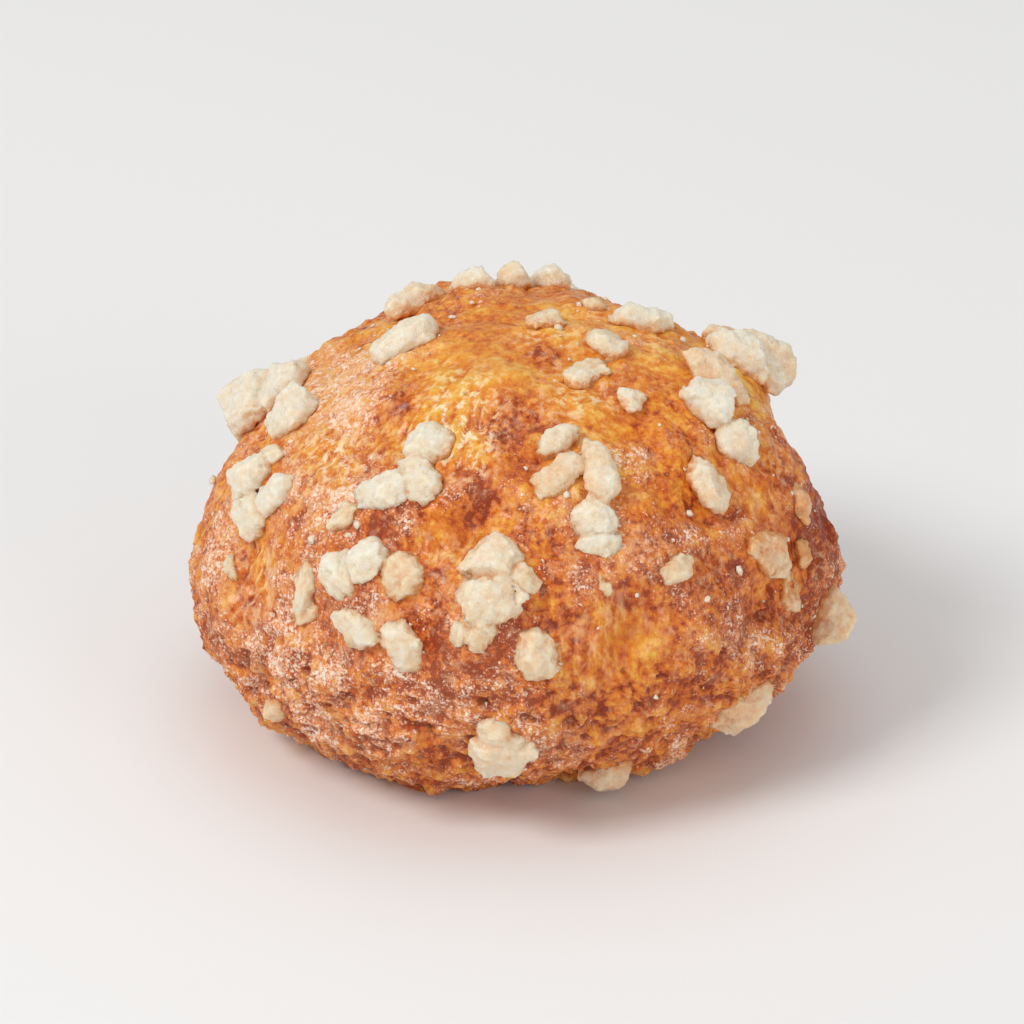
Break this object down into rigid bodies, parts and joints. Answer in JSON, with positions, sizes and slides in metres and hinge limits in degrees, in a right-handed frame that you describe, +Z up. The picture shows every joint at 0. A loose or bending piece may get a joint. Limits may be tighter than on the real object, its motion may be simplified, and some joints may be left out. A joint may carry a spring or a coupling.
{
  "type": "chouquette",
  "caption": "Small round baked choux bun with a flat base, a craggy golden-brown crust and clusters of white pearl sugar nibs stuck all over its dome.",
  "frame": {"origin": "middle of the flat base, on the surface that the bun rests on", "axes": "+Z up through the top of the bun, -Y towards the side that is shown, +X to the right as seen from that side"},
  "size_m": [0.0551, 0.0575, 0.036],
  "materials": {
    "crust": "baked choux crust, golden orange with red-brown skin, dull with a slight egg-wash gloss",
    "sugar": "opaque ivory pearl sugar, grainy and matte"
  },
  "bodies": {
    "root": {"chouquette": "crust"}
  },
  "joints": []
}
